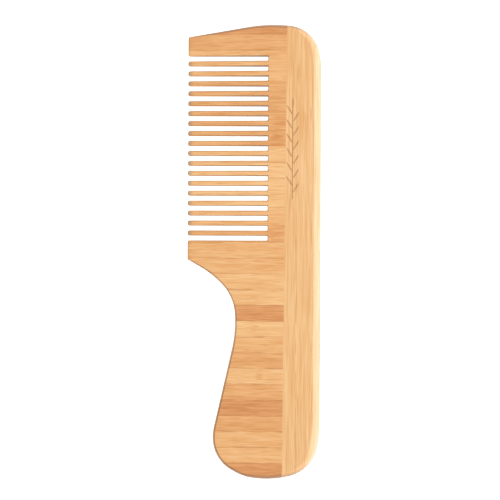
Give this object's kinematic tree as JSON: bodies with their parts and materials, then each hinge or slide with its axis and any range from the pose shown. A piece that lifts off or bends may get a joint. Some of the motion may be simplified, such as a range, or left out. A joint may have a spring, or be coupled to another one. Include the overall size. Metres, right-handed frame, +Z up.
{
  "type": "wide tooth comb",
  "caption": "Bamboo wide tooth comb with a thick rounded spine, wedge-shaped section, end guards and a waisted handle with a rounded end.",
  "frame": {"origin": "centre of the comb's bounding box in plan, on the plane that its flat back face lies on", "axes": "+X from the tooth tips to the spine, +Y along the comb from the handle end to the toothed end, +Z up out of the front face side"},
  "size_m": [0.0588, 0.2004, 0.0091],
  "materials": {
    "bamboo_pale": "satin, lightly oiled bamboo",
    "bamboo_honey": "satin, lightly oiled bamboo",
    "bamboo_amber": "satin, lightly oiled bamboo",
    "bamboo_toasted": "satin, lightly oiled bamboo",
    "bamboo_spine": "satin, lightly oiled bamboo"
  },
  "bodies": {
    "root": {"cross_strip_01": "bamboo_toasted", "cross_strip_02": "bamboo_amber", "cross_strip_03": "bamboo_honey", "cross_strip_04": "bamboo_honey", "cross_strip_05": "bamboo_amber", "cross_strip_06": "bamboo_amber", "cross_strip_07": "bamboo_amber", "cross_strip_08": "bamboo_amber", "cross_strip_09": "bamboo_pale", "cross_strip_10": "bamboo_pale", "cross_strip_11": "bamboo_pale", "cross_strip_12": "bamboo_pale", "cross_strip_13": "bamboo_honey", "cross_strip_14": "bamboo_amber", "cross_strip_15": "bamboo_honey", "cross_strip_16": "bamboo_honey", "cross_strip_17": "bamboo_pale", "cross_strip_18": "bamboo_pale", "cross_strip_19": "bamboo_toasted", "cross_strip_20": "bamboo_pale", "cross_strip_21": "bamboo_honey", "cross_strip_22": "bamboo_amber", "cross_strip_23": "bamboo_pale", "cross_strip_24": "bamboo_amber", "cross_strip_25": "bamboo_toasted", "cross_strip_26": "bamboo_amber", "cross_strip_27": "bamboo_honey", "cross_strip_28": "bamboo_honey", "cross_strip_29": "bamboo_toasted", "spine_strip_inner": "bamboo_spine", "spine_strip_middle": "bamboo_spine", "spine_strip_outer": "bamboo_spine"}
  },
  "joints": []
}
